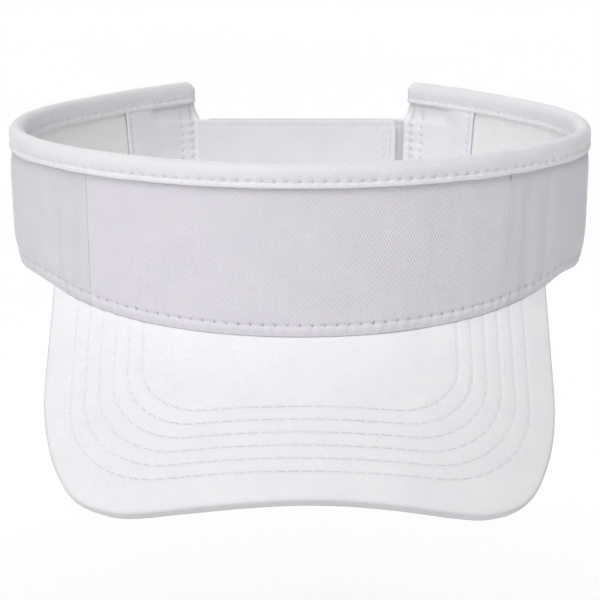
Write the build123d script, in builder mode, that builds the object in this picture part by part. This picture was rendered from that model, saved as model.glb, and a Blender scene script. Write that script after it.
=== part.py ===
from build123d import *
from math import cos, radians, sin
import os

os.makedirs("parts", exist_ok=True)

# All sizes in millimetres. The origin is on the midline of the head opening, level with the
# lower edge of the sides. +Z is up and the bill points towards -Y.

# Plan outline of the band at its top edge: a front arc, two side arcs and two flatter rear arcs.
FRONT_Y = -85.5
FRONT_RADIUS = 110.0
SIDE_RADIUS = 72.5
REAR_RADIUS = 229.0
FRONT_TURN = 51.0
REAR_TURN = 120.0
LAST_TURN = 146.0
BAND_TOP = 49.0
FLARE = 0.022  # growth of the outline for each millimetre up
LEAN = 0.05  # forward shift of the outline for each millimetre up

# Depth of each layer behind the outermost surface, which is the face of the top binding.
BINDING_FACE = 0.0
PANEL_FACE = -1.0
FRONT_PANEL_BACK = -1.95
STIFFENER_FACE = -2.0
SIDE_PANEL_BACK = -2.55
SWEATBAND_FACE = -2.6
SWEATBAND_BACK = -4.35
INNER_LEG_FACE = -4.4
FACING_BACK = -5.1
BINDING_BACK = -5.2

BINDING_HEIGHT = 9.0
BINDING_WALL = 1.0
BINDING_ROLL = 1.6
LAYER_GAP = 0.05
SEAM_X = 70.0
SEAM_GAP = 0.2
SWEATBAND_DROP = 1.5
STIFFENER_LIFT = 1.5
SWEATBAND_END_X = 61.0
FACING_FRONT_X = 65.5
STRAP_ROOT_X = 58.0

# The rear ends of the band are cut square to the wall here.
REAR_END_X = 44.5
REAR_END_Y = 92.1
REAR_END_TURN = 138.5

# The bill is a sheet arched about an axis that slopes down and forward.
BILL_ROOT_Y = -80.3
BILL_ROOT_Z = -9.7
BILL_SLOPE = 40.0
ARCH_RADIUS = 195.0
BILL_REACH = 60.5
CORNER_RADIUS = 22.5
CORNER_X = 53.5
CORNER_TURN = 25.0
SIDE_BOW_RADIUS = 101.4
BILL_TAIL = -48.0
COVER = 0.9
BILL_THICKNESS = 3.6
UNDER_COVER = 0.8
EDGE_WRAP = 1.0
TAIL_DROP = 0.5

# The closure: two flat straps with fastening tapes between them.
STRAP_LOW = 8.5
STRAP_HIGH = 33.5
STRAP_THICKNESS = 1.6
TAPE_THICKNESS = 0.95
TAPE_MARGIN = 2.0
INNER_STRAP_Y = 88.6
OUTER_STRAP_Y = 92.6
STRAP_CORNER = 2.0
TAPE_CORNER = 1.0
INNER_STRAP_X = (-39.5, 37.5)
LOOP_TAPE_X = (-33.0, 34.0)
OUTER_STRAP_X = (-37.0, 42.0)
HOOK_TAPE_X = (-35.0, 16.0)
TAPE_LOW = STRAP_LOW + TAPE_MARGIN
TAPE_HIGH = STRAP_HIGH - TAPE_MARGIN

FRONT_CENTRE_Y = FRONT_Y + FRONT_RADIUS
BILL_ROOT = (0, BILL_ROOT_Y, BILL_ROOT_Z)
BILL_DOWN = Vector(0, -cos(radians(BILL_SLOPE)), -sin(radians(BILL_SLOPE)))
BILL_OUT = Vector(0, -sin(radians(BILL_SLOPE)), cos(radians(BILL_SLOPE)))
ARCH_PLANE = Plane(origin=BILL_ROOT, x_dir=(1, 0, 0), z_dir=BILL_DOWN)
PATTERN_PLANE = Plane(origin=BILL_ROOT, x_dir=(1, 0, 0), z_dir=-BILL_OUT)


def heading(turn):
    """Unit vector at an angle from straight forward, turning towards +X."""
    return Vector(sin(radians(turn)), -cos(radians(turn)))


def band_face(offset, level):
    """The band's plan outline as a flat face, grown by offset, at a given height."""
    drop = BAND_TOP - level
    grow = offset - FLARE * drop
    front = Vector(0, FRONT_CENTRE_Y + LEAN * drop)
    side = front + heading(FRONT_TURN) * (FRONT_RADIUS - SIDE_RADIUS)
    rear = side - heading(REAR_TURN) * (REAR_RADIUS - SIDE_RADIUS)
    with BuildSketch(Plane.XY.offset(level)) as outline:
        with BuildLine():
            CenterArc((front.X, front.Y), FRONT_RADIUS + grow, -90, FRONT_TURN)
            CenterArc((side.X, side.Y), SIDE_RADIUS + grow, FRONT_TURN - 90, REAR_TURN - FRONT_TURN)
            last = CenterArc((rear.X, rear.Y), REAR_RADIUS + grow, REAR_TURN - 90, LAST_TURN - REAR_TURN)
            Line(last @ 1, (0, (last @ 1).Y))
            mirror(about=Plane.YZ)
        make_face()
    return outline.sketch.face()


def band_core(offset, low, high, mode=Mode.PRIVATE):
    """Everything inside the band's surface at the given offset, between two heights."""
    return loft([band_face(offset, low), band_face(offset, high)], ruled=True, mode=mode)


def band_wall(face, back, low, high, mode=Mode.ADD):
    """A leaning wall that follows the outline, between two offsets."""
    add(band_core(face, low, high) - band_core(back, low, high), mode=mode)


def open_rear():
    """Cuts the gap between the two rear ends, square to the wall at each end."""
    outward = heading(REAR_END_TURN)
    reach_in = 30.0
    reach_out = 45.0
    with BuildSketch(Plane.XY.offset(-40)) as gap:
        with BuildLine():
            Polyline(
                (0, REAR_END_Y - reach_in * outward.Y),
                (REAR_END_X - reach_in * outward.X, REAR_END_Y - reach_in * outward.Y),
                (REAR_END_X + reach_out * outward.X, REAR_END_Y + reach_out * outward.Y),
                (0, REAR_END_Y + reach_out * outward.Y),
            )
            mirror(about=Plane.YZ)
        make_face()
    extrude(gap.sketch, amount=120, mode=Mode.SUBTRACT)


def keep_between(low_x, high_x, low_y=-150, high_y=150):
    """Keeps only what is inside a range of X and Y."""
    with BuildSketch(Plane.XY.offset(-80)) as window:
        with BuildLine():
            Polyline((low_x, low_y), (high_x, low_y), (high_x, high_y), (low_x, high_y), close=True)
        make_face()
    extrude(window.sketch, amount=160, mode=Mode.INTERSECT)


def cut_front():
    """Removes the part of a side that lies in front, between the two temple seams."""
    with BuildSketch(Plane.XY.offset(-80)) as window:
        with Locations((0, -75)):
            Rectangle(2 * (SEAM_X + SEAM_GAP), 150)
    extrude(window.sketch, amount=160, mode=Mode.SUBTRACT)


def cut_rear_inside(end_x):
    """Removes the part of a side that lies behind, nearer the midline than end_x."""
    with BuildSketch(Plane.XY.offset(-80)) as window:
        with Locations((0, 75)):
            Rectangle(2 * end_x, 150)
    extrude(window.sketch, amount=160, mode=Mode.SUBTRACT)


def trim_below(clearance, level):
    """Cuts away what is below both a level and the arched top of the bill."""
    with BuildSketch(ARCH_PLANE) as disc:
        with Locations((0, -ARCH_RADIUS)):
            Circle(ARCH_RADIUS + clearance)
    under_arch = extrude(disc.sketch, amount=260, both=True, mode=Mode.PRIVATE)
    with BuildSketch(Plane.XY.offset(level)) as floor:
        Rectangle(400, 400)
    below = extrude(floor.sketch, amount=-60, mode=Mode.PRIVATE)
    add(under_arch & below, mode=Mode.SUBTRACT)


def bill_outline(inset):
    """Flat pattern of the bill on the pattern plane, moved inwards by inset."""
    turn = CORNER_TURN
    corner_y = BILL_REACH - CORNER_RADIUS
    join = Vector(CORNER_X, corner_y) + Vector(cos(radians(turn)), sin(radians(turn))) * CORNER_RADIUS
    bow = join - Vector(cos(radians(turn)), sin(radians(turn))) * SIDE_BOW_RADIUS
    with BuildSketch(PATTERN_PLANE) as pattern:
        with BuildLine():
            Line((0, BILL_REACH - inset), (CORNER_X, BILL_REACH - inset))
            CenterArc((CORNER_X, corner_y), CORNER_RADIUS - inset, 90, turn - 90)
            side = CenterArc((bow.X, bow.Y), SIDE_BOW_RADIUS - inset, turn, -turn)
            edge = Line(side @ 1, ((side @ 1).X, BILL_TAIL))
            Line(edge @ 1, (0, BILL_TAIL))
            mirror(about=Plane.YZ)
        make_face()
    return pattern.sketch


def arched_sheet(upper, lower, inset):
    """A sheet between two depths below the bill's top surface, cut to the pattern."""
    with BuildSketch(ARCH_PLANE) as section:
        with Locations((0, -ARCH_RADIUS)):
            Circle(ARCH_RADIUS - upper)
            Circle(ARCH_RADIUS - lower, mode=Mode.SUBTRACT)
        with Locations((0, -ARCH_RADIUS)):
            Rectangle(2 * ARCH_RADIUS, 1.6 * ARCH_RADIUS, mode=Mode.SUBTRACT)
    sheet = extrude(section.sketch, amount=90, both=True, mode=Mode.PRIVATE)
    block = extrude(bill_outline(inset), amount=60, both=True, mode=Mode.PRIVATE)
    return sheet & block


def cut_head_side():
    """Ends the bill at the face of the sweatband, and its two tails below the sides."""
    band_core(SWEATBAND_FACE + LAYER_GAP, -40, 40, Mode.SUBTRACT)
    split(bisect_by=Plane.XY.offset(-TAIL_DROP), keep=Keep.BOTTOM)


def strap_plate(low_x, high_x, low_y, thickness, low_z, high_z, corner):
    """A flat upright plate with rounded corners."""
    centre = ((low_x + high_x) / 2, (low_z + high_z) / 2)
    with BuildSketch(Plane.XZ.offset(-low_y)) as plate:
        with Locations(centre):
            RectangleRounded(high_x - low_x, high_z - low_z, corner)
    extrude(plate.sketch, amount=-thickness)


SANDWICH_TOP = BAND_TOP - BINDING_WALL - LAYER_GAP
LEG_LOW = BAND_TOP - BINDING_HEIGHT
DEEP = -30.0
FRONT_WINDOW = (-SEAM_X + SEAM_GAP, SEAM_X - SEAM_GAP, -150, 0)
BODY_GAP = 0.4


def binding():
    """A folded strip over the top edge: rounded ridge, outer leg and inner leg."""
    band_wall(BINDING_FACE, BINDING_BACK, LEG_LOW, BAND_TOP)
    ridge = faces().sort_by(Axis.Z)[-1]
    fillet(ridge.edges(), BINDING_ROLL)
    slot_face = PANEL_FACE + LAYER_GAP
    slot_back = INNER_LEG_FACE
    band_wall(slot_face, slot_back, LEG_LOW - 5, BAND_TOP - BINDING_WALL, Mode.SUBTRACT)


# Front body: the front of the band, made of four layers.

with BuildPart() as front_panel:
    band_wall(PANEL_FACE, FRONT_PANEL_BACK, DEEP, SANDWICH_TOP)
    keep_between(*FRONT_WINDOW)
    trim_below(LAYER_GAP, 0)
front_panel.part.label = "front_panel"

with BuildPart() as front_stiffener:
    band_wall(STIFFENER_FACE, SIDE_PANEL_BACK, DEEP, SANDWICH_TOP)
    keep_between(*FRONT_WINDOW)
    trim_below(STIFFENER_LIFT, 0)
front_stiffener.part.label = "front_stiffener"

with BuildPart() as front_sweatband:
    band_wall(SWEATBAND_FACE, SWEATBAND_BACK, DEEP, SANDWICH_TOP)
    keep_between(*FRONT_WINDOW)
    trim_below(-SWEATBAND_DROP, -SWEATBAND_DROP)
front_sweatband.part.label = "front_sweatband"

with BuildPart() as front_binding:
    binding()
    keep_between(*FRONT_WINDOW)
front_binding.part.label = "front_binding"

# Front body: the bill, a stiff board between two cloth covers.

with BuildPart() as bill_top_cover:
    add(arched_sheet(0, BILL_THICKNESS - UNDER_COVER - LAYER_GAP, 0))
    add(arched_sheet(COVER, BILL_THICKNESS, EDGE_WRAP), mode=Mode.SUBTRACT)
    cut_head_side()
bill_top_cover.part.label = "bill_top_cover"

with BuildPart() as bill_board:
    add(arched_sheet(COVER + LAYER_GAP, BILL_THICKNESS - UNDER_COVER - LAYER_GAP, EDGE_WRAP + LAYER_GAP))
    cut_head_side()
bill_board.part.label = "bill_board"

with BuildPart() as bill_under_cover:
    add(arched_sheet(BILL_THICKNESS - UNDER_COVER, BILL_THICKNESS, 0))
    cut_head_side()
bill_under_cover.part.label = "bill_under_cover"

# Side bodies: each side of the band is a mirror image of the other.

sides = {}
for name, hand in (("right", 1), ("left", -1)):
    half = sorted((0, hand * 150)) + [-150, 150]

    with BuildPart() as side_panel:
        band_wall(PANEL_FACE, SIDE_PANEL_BACK, DEEP, SANDWICH_TOP)
        keep_between(*half)
        cut_front()
        open_rear()
        trim_below(BODY_GAP, 0)
    side_panel.part.label = f"side_panel_{name}"

    with BuildPart() as side_sweatband:
        band_wall(SWEATBAND_FACE, SWEATBAND_BACK, DEEP, SANDWICH_TOP)
        keep_between(*half)
        cut_front()
        cut_rear_inside(SWEATBAND_END_X)
        trim_below(BODY_GAP, 0)
    side_sweatband.part.label = f"side_sweatband_{name}"

    with BuildPart() as side_binding:
        binding()
        keep_between(*half)
        cut_front()
        open_rear()
    side_binding.part.label = f"side_binding_{name}"

    with BuildPart() as end_facing:
        band_wall(INNER_LEG_FACE, FACING_BACK, 0, LEG_LOW - LAYER_GAP)
        keep_between(*sorted((0, hand * FACING_FRONT_X)), 0, 150)
        open_rear()
    end_facing.part.label = f"end_facing_{name}"

    with BuildPart() as strap_root:
        band_wall(SWEATBAND_FACE, SWEATBAND_BACK, STRAP_LOW, STRAP_HIGH)
        keep_between(*sorted((0, hand * STRAP_ROOT_X)), 0, 150)
        open_rear()
    strap_root.part.label = f"strap_root_{name}"

    for piece in (side_panel, side_sweatband, side_binding, end_facing, strap_root):
        sides[piece.part.label] = piece.part

# Strap bodies: each strap carries one fastening tape, and the tapes face each other.

with BuildPart() as inner_strap:
    strap_plate(*INNER_STRAP_X, INNER_STRAP_Y, STRAP_THICKNESS, STRAP_LOW, STRAP_HIGH, STRAP_CORNER)
inner_strap.part.label = "inner_strap"

with BuildPart() as loop_tape:
    tape_y = INNER_STRAP_Y + STRAP_THICKNESS + LAYER_GAP
    strap_plate(*LOOP_TAPE_X, tape_y, TAPE_THICKNESS, TAPE_LOW, TAPE_HIGH, TAPE_CORNER)
loop_tape.part.label = "loop_tape"

with BuildPart() as outer_strap:
    strap_plate(*OUTER_STRAP_X, OUTER_STRAP_Y, STRAP_THICKNESS, STRAP_LOW, STRAP_HIGH, STRAP_CORNER)
outer_strap.part.label = "outer_strap"

with BuildPart() as hook_tape:
    tape_y = OUTER_STRAP_Y - TAPE_THICKNESS - LAYER_GAP
    strap_plate(*HOOK_TAPE_X, tape_y, TAPE_THICKNESS, TAPE_LOW, TAPE_HIGH, TAPE_CORNER)
hook_tape.part.label = "hook_tape"

export_step(front_panel.part, "parts/front_panel.step")
export_step(front_stiffener.part, "parts/front_stiffener.step")
export_step(front_sweatband.part, "parts/front_sweatband.step")
export_step(front_binding.part, "parts/front_binding.step")
export_step(bill_top_cover.part, "parts/bill_top_cover.step")
export_step(bill_board.part, "parts/bill_board.step")
export_step(bill_under_cover.part, "parts/bill_under_cover.step")
export_step(inner_strap.part, "parts/inner_strap.step")
export_step(loop_tape.part, "parts/loop_tape.step")
export_step(outer_strap.part, "parts/outer_strap.step")
export_step(hook_tape.part, "parts/hook_tape.step")
for label, piece in sides.items():
    export_step(piece, f"parts/{label}.step")
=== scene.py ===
import math

import bpy
import numpy as np
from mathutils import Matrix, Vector


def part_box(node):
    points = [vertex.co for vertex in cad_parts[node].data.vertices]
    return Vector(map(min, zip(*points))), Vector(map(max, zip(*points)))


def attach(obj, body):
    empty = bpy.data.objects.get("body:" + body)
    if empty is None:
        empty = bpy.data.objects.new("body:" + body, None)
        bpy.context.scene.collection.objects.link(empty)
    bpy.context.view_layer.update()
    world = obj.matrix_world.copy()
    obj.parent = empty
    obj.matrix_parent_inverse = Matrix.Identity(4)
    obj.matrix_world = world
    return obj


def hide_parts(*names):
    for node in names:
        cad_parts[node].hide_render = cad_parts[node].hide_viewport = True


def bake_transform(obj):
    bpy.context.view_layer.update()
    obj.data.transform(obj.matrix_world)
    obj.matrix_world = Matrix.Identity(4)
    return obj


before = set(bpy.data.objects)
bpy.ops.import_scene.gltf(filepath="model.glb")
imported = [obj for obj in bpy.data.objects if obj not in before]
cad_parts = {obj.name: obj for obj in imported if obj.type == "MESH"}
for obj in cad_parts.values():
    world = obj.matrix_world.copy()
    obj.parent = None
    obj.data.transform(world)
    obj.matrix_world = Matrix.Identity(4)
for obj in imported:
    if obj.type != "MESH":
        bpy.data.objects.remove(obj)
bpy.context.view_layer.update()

# Lengths are in millimetres in the CAD frame, and become metres when a mesh is made.
# Left and right are as seen from in front of the visor.
MM = 0.001
HANDS = (("left", -1), ("right", 1))


def cad_mm(node):
    """Lowest and highest corner of a CAD node."""
    low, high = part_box(node)
    return np.array(low) / MM, np.array(high) / MM


def settle(piece, slot, hold, *stands_for):
    """Hide the CAD nodes a piece stands for, and attach it to its body if hold names one, else bake
    its transform. slot is not used.
    """
    if stands_for:
        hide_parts(*stands_for)
    if isinstance(hold, str):
        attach(piece, hold)
    else:
        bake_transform(piece)


def temple(side):
    """The bodies that cloth joins at the temple, and where its bend starts and ends, in metres."""
    return "front", f"side_{side}", (0, -0.055, 0), (0, 0.035, 0)


# ---------------------------------------------------------------- the band's surface

# Half the band in plan is three arcs, from the middle of its front round to its rear end.
RADII = np.array((110.0, 72.5, 229.0))
TURN_KNOTS = np.radians((0.0, 51.0, 120.0, 146.0))
FLARE, LEAN = 0.022, 0.05
FRONT_Y = -85.5
LEG_LOW, BAND_TOP = (corner[2] for corner in cad_mm("front_binding"))

# s runs along the band from the middle of its front, to the right, this far outside the outline.
S_OFF = -1.55
S_KNOTS = np.concatenate(([0], np.cumsum((RADII + S_OFF) * np.diff(TURN_KNOTS))))

S_SEAM = {"left": 76.1, "right": 74.6}
REAR_END = {"left": 257.6, "right": 255.8}
S_TERRY_END = 231.0
S_FACING = 221.8
PANEL_OFF = -1.0
FLARE_OUT = 1.3  # how far the rear ends swell towards the straps


def step(low, high, x):
    """Goes smoothly from 0 at low to 1 at high."""
    t = np.clip((np.asarray(x, float) - low) / (high - low), 0, 1)
    return t * t * (3 - 2 * t)


def bell(x, centre, width):
    """1 at the centre, fading to 0 on both sides."""
    return np.exp(-(((x - centre) / width) ** 2))


def pits(place, pitch, radius):
    """Close to 1 within radius of every stitch end along a seam, 0 between them."""
    return bell((place / pitch - np.round(place / pitch)) * pitch, 0, radius)


def ripple(place, pitch):
    """1 at every stitch end along a seam, -1 between them."""
    return np.cos(2 * np.pi * place / pitch)


def waves(a, b, seed, size, count=8):
    """Smooth seeded unevenness between about -1 and 1, over two coordinates in millimetres."""
    rng = np.random.default_rng(seed)
    total = 0.0
    for _ in range(count):
        turn, length, start = rng.uniform((0, 0.6, 0), (math.pi, 1.7, 2 * math.pi))
        k = 2 * math.pi / (size * length)
        total = total + np.sin((a * np.cos(turn) + b * np.sin(turn)) * k + start)
    return total / (0.7 * count)


def heading(turn):
    """Outward direction in plan at an angle round the band from its front."""
    return np.sin(turn), -np.cos(turn)


JOINS = np.stack(heading(TURN_KNOTS[1:3]), -1) * -np.diff(RADII)[:, None]
CENTRES = np.cumsum(np.vstack(((0, FRONT_Y + RADII[0]), JOINS)), 0)


def widening(s):
    """How far the worn cloth stands outside its drawn outline at the ears."""
    a = np.abs(s)
    return 0.45 * step(88, 122, a) * (1 - step(185, 228, a))


def wall(s, z, off):
    """Point on the band: s along it from the front, height z, off outwards."""
    s, z, off = np.broadcast_arrays(*(np.asarray(v, float) for v in (s, z, off)))
    turn = np.interp(np.abs(s), S_KNOTS, TURN_KNOTS)
    part = np.searchsorted(TURN_KNOTS[1:3], turn)
    drop = BAND_TOP - z
    radius = RADII[part] + off + widening(s) - FLARE * drop
    hx, hy = heading(turn)
    x = CENTRES[part, 0] + hx * radius
    y = CENTRES[part, 1] + hy * radius + LEAN * drop
    return np.stack((np.where(s < 0, -x, x), y, z), -1)


def wall_normal(s):
    """Outward direction of the band at s."""
    hx, hy = heading(np.interp(np.abs(s), S_KNOTS, TURN_KNOTS))
    return np.stack((np.where(np.asarray(s) < 0, -hx, hx), hy, 0 * hx), -1)


# ---------------------------------------------------------------- the bill's surface

BILL_ROOT = np.array((0.0, -80.3, -9.7))
SLOPE = math.radians(40)
BILL_DOWN = np.array((0.0, -math.cos(SLOPE), -math.sin(SLOPE)))
BILL_OUT = np.array((0.0, -math.sin(SLOPE), math.cos(SLOPE)))
ARCH = 195.0
BILL_THICK = 3.6
SEAM_DEPTH = 2.85


def bill(x, t, depth):
    """Point on the bill: x across its flat pattern, t forwards, depth below its top surface."""
    x, t, depth = np.broadcast_arrays(*(np.asarray(v, float) for v in (x, t, depth)))
    sin = x / ARCH
    out = (ARCH - depth) * np.sqrt(1 - sin * sin) - ARCH
    point = BILL_ROOT + t[..., None] * BILL_DOWN + out[..., None] * BILL_OUT
    point[..., 0] += (ARCH - depth) * sin
    return point


def arch_level(s, off):
    """Height at which the band meets the bill's top surface."""
    z = np.zeros_like(np.asarray(s, float))
    for _ in range(8):
        p = wall(s, z, off)
        sag = ARCH - np.sqrt(ARCH**2 - np.clip(p[..., 0], -150, 150) ** 2)
        rise = (math.sin(SLOPE) * (p[..., 1] - BILL_ROOT[1]) - sag) / math.cos(SLOPE)
        z = np.clip(BILL_ROOT[2] + rise, -20, 60)
    return z


EDGE_S = np.linspace(0, 260, 521)
EDGE_Z = 0.3 - 1.2 * np.logaddexp(-arch_level(EDGE_S, PANEL_OFF) / 1.2, 0)


def hem(s):
    """Height of the band's lower edge, which dips and rises again beside the bill's right end."""
    return np.interp(np.abs(s), EDGE_S, EDGE_Z) - 0.5 * bell(s, 92, 6) + 0.75 * bell(s, 107, 9)


# ---------------------------------------------------------------- meshes

SHARP = math.radians(55)


def make(name, verts, quads, corner_uv, material, others=()):
    """A mesh that faces outwards, from points, quads, a UV for each quad corner, and end faces."""
    verts = np.asarray(verts, float).reshape(-1, 3)
    tri = np.concatenate((quads[:, (0, 1, 2)], quads[:, (0, 2, 3)]))
    a, b, c = (verts[tri[:, i]] for i in range(3))
    if np.einsum("ij,ij->i", a, np.cross(b, c)).sum() < 0:
        quads = quads[:, ::-1]
        corner_uv = corner_uv[:, ::-1]
        others = [face[::-1] for face in others]
    sizes = [4] * len(quads) + [len(face) for face in others]
    corners = np.concatenate([quads.ravel(), *others]).astype(np.int32)
    mesh = bpy.data.meshes.new(name)
    mesh.vertices.add(len(verts))
    mesh.vertices.foreach_set("co", (verts * MM).ravel())
    mesh.loops.add(len(corners))
    mesh.loops.foreach_set("vertex_index", corners)
    mesh.polygons.add(len(sizes))
    starts = np.concatenate(([0], np.cumsum(sizes)[:-1])).astype(np.int32)
    mesh.polygons.foreach_set("loop_start", starts)
    mesh.update(calc_edges=True)
    uv = np.zeros((len(corners), 2))
    uv[: corner_uv.size // 2] = corner_uv.reshape(-1, 2) * MM
    layer = mesh.uv_layers.new(name="cloth")
    layer.data.foreach_set("uv", uv.ravel())
    mesh.polygons.foreach_set("use_smooth", np.ones(len(sizes), bool))
    mesh.set_sharp_from_angle(angle=SHARP)
    mesh.validate()
    obj = bpy.data.objects.new(name, mesh)
    bpy.context.scene.collection.objects.link(obj)
    obj.data.materials.append(material)
    return obj


def mark(obj, name, values):
    """Store one number for each vertex, for the materials to read."""
    layer = obj.data.attributes.new(name, "FLOAT", "POINT")
    layer.data.foreach_set("value", np.asarray(values, float).ravel().astype(np.float32))


def skin(name, grid, uv, material):
    """A closed mesh from a grid of columns, each a loop whose first point pairs with its last."""
    columns, points = grid.shape[:2]
    index = np.arange(columns * points).reshape(columns, points)
    turned = np.roll(index, -1, 1)
    quads = np.stack((index[:-1], index[1:], turned[1:], turned[:-1]), -1).reshape(-1, 4)
    wide = np.concatenate((uv, uv[:, -1:]), 1)
    corners = np.stack((wide[:-1, :-1], wide[1:, :-1], wide[1:, 1:], wide[:-1, 1:]), -2)
    corners = corners.reshape(-1, 4, 2)
    half = points // 2
    i = np.arange(half - 1)
    cap = np.stack((i, i + 1, points - 2 - i, points - 1 - i), -1)
    ends = np.concatenate((index[0][cap], index[-1][cap][:, ::-1]))
    corners = np.concatenate((corners, uv.reshape(-1, 2)[ends]))
    return make(name, grid, np.concatenate((quads, ends)), corners, material)


def layers(face, back):
    """Columns that run up one face and back down the other."""
    return np.concatenate((face, back[:, ::-1]), 1)


def unit(vectors):
    return vectors / np.linalg.norm(vectors, axis=-1, keepdims=True)


def right_of(path):
    """Unit directions to the right of a line's course."""
    way = np.gradient(path, axis=0)
    return unit(np.stack((way[:, 1], -way[:, 0]), -1))


def even_run(path, pitch=None, count=None):
    """A line cut into even lengths, with the distance along it."""
    run = np.concatenate(([0], np.cumsum(np.linalg.norm(np.diff(path, axis=0), axis=1))))
    even = np.arange(0, run[-1], pitch) if pitch else np.linspace(0, run[-1], count)
    return np.stack([np.interp(even, run, path[:, k]) for k in range(2)], -1), even


def fine_ends(low, high, inner, ends):
    """Positions between two limits, finer within ends of either, where cloth rounds over."""
    fine = ends * (1 - np.cos(np.linspace(0, math.pi / 2, 6)))
    keep = inner[(inner > low + ends * 1.15) & (inner < high - ends * 1.15)]
    return np.concatenate((low + fine, keep, (high - fine)[::-1]))


def spaced(low, high, pitch, ends):
    """Positions about pitch apart."""
    inner = np.linspace(low, high, int(round((high - low) / pitch)) + 1)
    return fine_ends(low, high, inner, ends)


def beats(low, high, pitch, parts, ends):
    """Positions that fall on every stitch end, with a number of parts to each stitch."""
    inner = np.arange(math.ceil(low * parts / pitch), high * parts / pitch) * pitch / parts
    return fine_ends(low, high, inner, ends)


def folded(radius, count=6):
    """Heights above a folded edge and how open the fold is there."""
    turn = np.linspace(0, math.pi / 2, count)
    return radius * (1 - np.cos(turn)), np.sin(turn)


def rounded(left, radius, least=0.02):
    """How open cloth is at a distance left to its rounded end."""
    return np.sqrt(np.clip(1 - (1 - np.clip(left / radius, 0, 1)) ** 2, least, 1))


def opening(s, radius, open_):
    """How open a sheet is, from its positions along and how open each of its levels is."""
    return open_[None, :] * rounded(np.minimum(s - s.min(), s.max() - s), radius)[:, None]


def strip(name, s, low, levels, middle, half, material, relief=0, back=0, lean=0, ends=0.6,
          top=None, crease=None):
    """A folded strip of cloth on the band.

    Its outer face is moved by relief, its inner face by back, and both along the band by lean.
    Each of these and middle is a number or a function of s and z.
    """
    def at(value):
        return value(sg, z) if callable(value) else value

    rise, fold = folded(half)
    start = low(s) if callable(low) else np.full_like(s, low)
    z = levels(s) if callable(levels) else start[:, None] + levels[None, :]
    z = np.concatenate((start[:, None] + rise[None, :], z), 1)
    open_ = np.concatenate((fold, np.ones(z.shape[1] - len(fold))))
    if top is not None:
        z = np.concatenate((z, np.broadcast_to(top - rise[::-1], (len(s), len(rise)))), 1)
        open_ = np.concatenate((open_, fold[::-1]))
    sg = np.broadcast_to(s[:, None], z.shape)
    e = opening(s, ends, open_)
    along = sg + at(lean)
    outer = wall(along, z, at(middle) + (half + at(relief)) * e)
    inner = wall(along, z, at(middle) - (half + at(back)) * e)
    uv = np.stack((layers(sg, sg), layers(z, 2 * start[:, None] - z)), -1)
    made = skin(name, layers(outer, inner), uv, material)
    if crease:
        mark(made, "crease", layers(*crease(sg, z)))
    return made


def tubes(name, verts, uv, material):
    """Closed tubes from an array of points by tube, ring and side, with a UV for each."""
    index = np.arange(verts.size // 3).reshape(verts.shape[:3])
    turned = np.roll(index, -1, 2)
    quads = np.stack((index[:, :-1], index[:, 1:], turned[:, 1:], turned[:, :-1]), -1)
    quads = quads.reshape(-1, 4)
    caps = [*index[:, 0], *index[:, -1, ::-1]]
    return make(name, verts, quads, uv.reshape(-1, 2)[quads], material, caps)


STITCH_SIDES = 6


def stitches(name, rows, width=0.42, lift=0.1, sink=0.3):
    """Sewing thread: one short rounded length for each stitch, sunk at both ends.

    Each row is its stitches' start points, end points and normals, and how much painted shade they
    take.
    """
    starts, ends, normals = (np.vstack([row[i] for row in rows]) for i in range(3))
    dark = np.concatenate([np.broadcast_to(row[3], len(row[0])) for row in rows])
    along = np.linspace(-1, 1, 7)
    thick = np.sqrt(np.clip(1.04 - along**4, 0, 1))
    rise = lift - (lift + sink) * np.abs(along) ** 3
    mid, run = (starts + ends) / 2, (ends - starts) / 2
    d = unit(run)
    n = unit(normals - (normals * d).sum(1, keepdims=True) * d)
    turn = np.linspace(0, 2 * math.pi, STITCH_SIDES, endpoint=False)[:, None, None]
    ring = np.cos(turn) * np.cross(d, n) + 0.75 * np.sin(turn) * n
    centre = mid + along[:, None, None] * run + rise[:, None, None] * n
    verts = centre[:, None] + thick[:, None, None, None] * ring[None] * width / 2
    verts = verts.transpose(2, 0, 1, 3)
    u = np.broadcast_to(along[None, :, None] * 1.6, verts.shape[:3])
    v = np.broadcast_to(np.arange(STITCH_SIDES) * width * 0.5, verts.shape[:3])
    made = tubes(name, verts, np.stack((u, v), -1), THREAD)
    # Painted shade: the thread is darkest at its ends, where it dips into the cloth.
    deep = dark[:, None, None] * (0.35 + along**2)[None, :, None]
    mark(made, "crease", np.broadcast_to(deep, verts.shape[:3]))
    return made


def dashes(low, high, pitch, share=0.8):
    """Starts and ends of stitches along a seam, symmetrical about zero where it is crossed."""
    first = math.ceil(low / pitch - 0.5) + 0.5
    centres = np.arange(first, high / pitch, 1.0) * pitch
    reach = pitch * share / 2
    centres = centres[(centres - reach >= low) & (centres + reach <= high)]
    return centres - reach, centres + reach


# ---------------------------------------------------------------- materials

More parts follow.
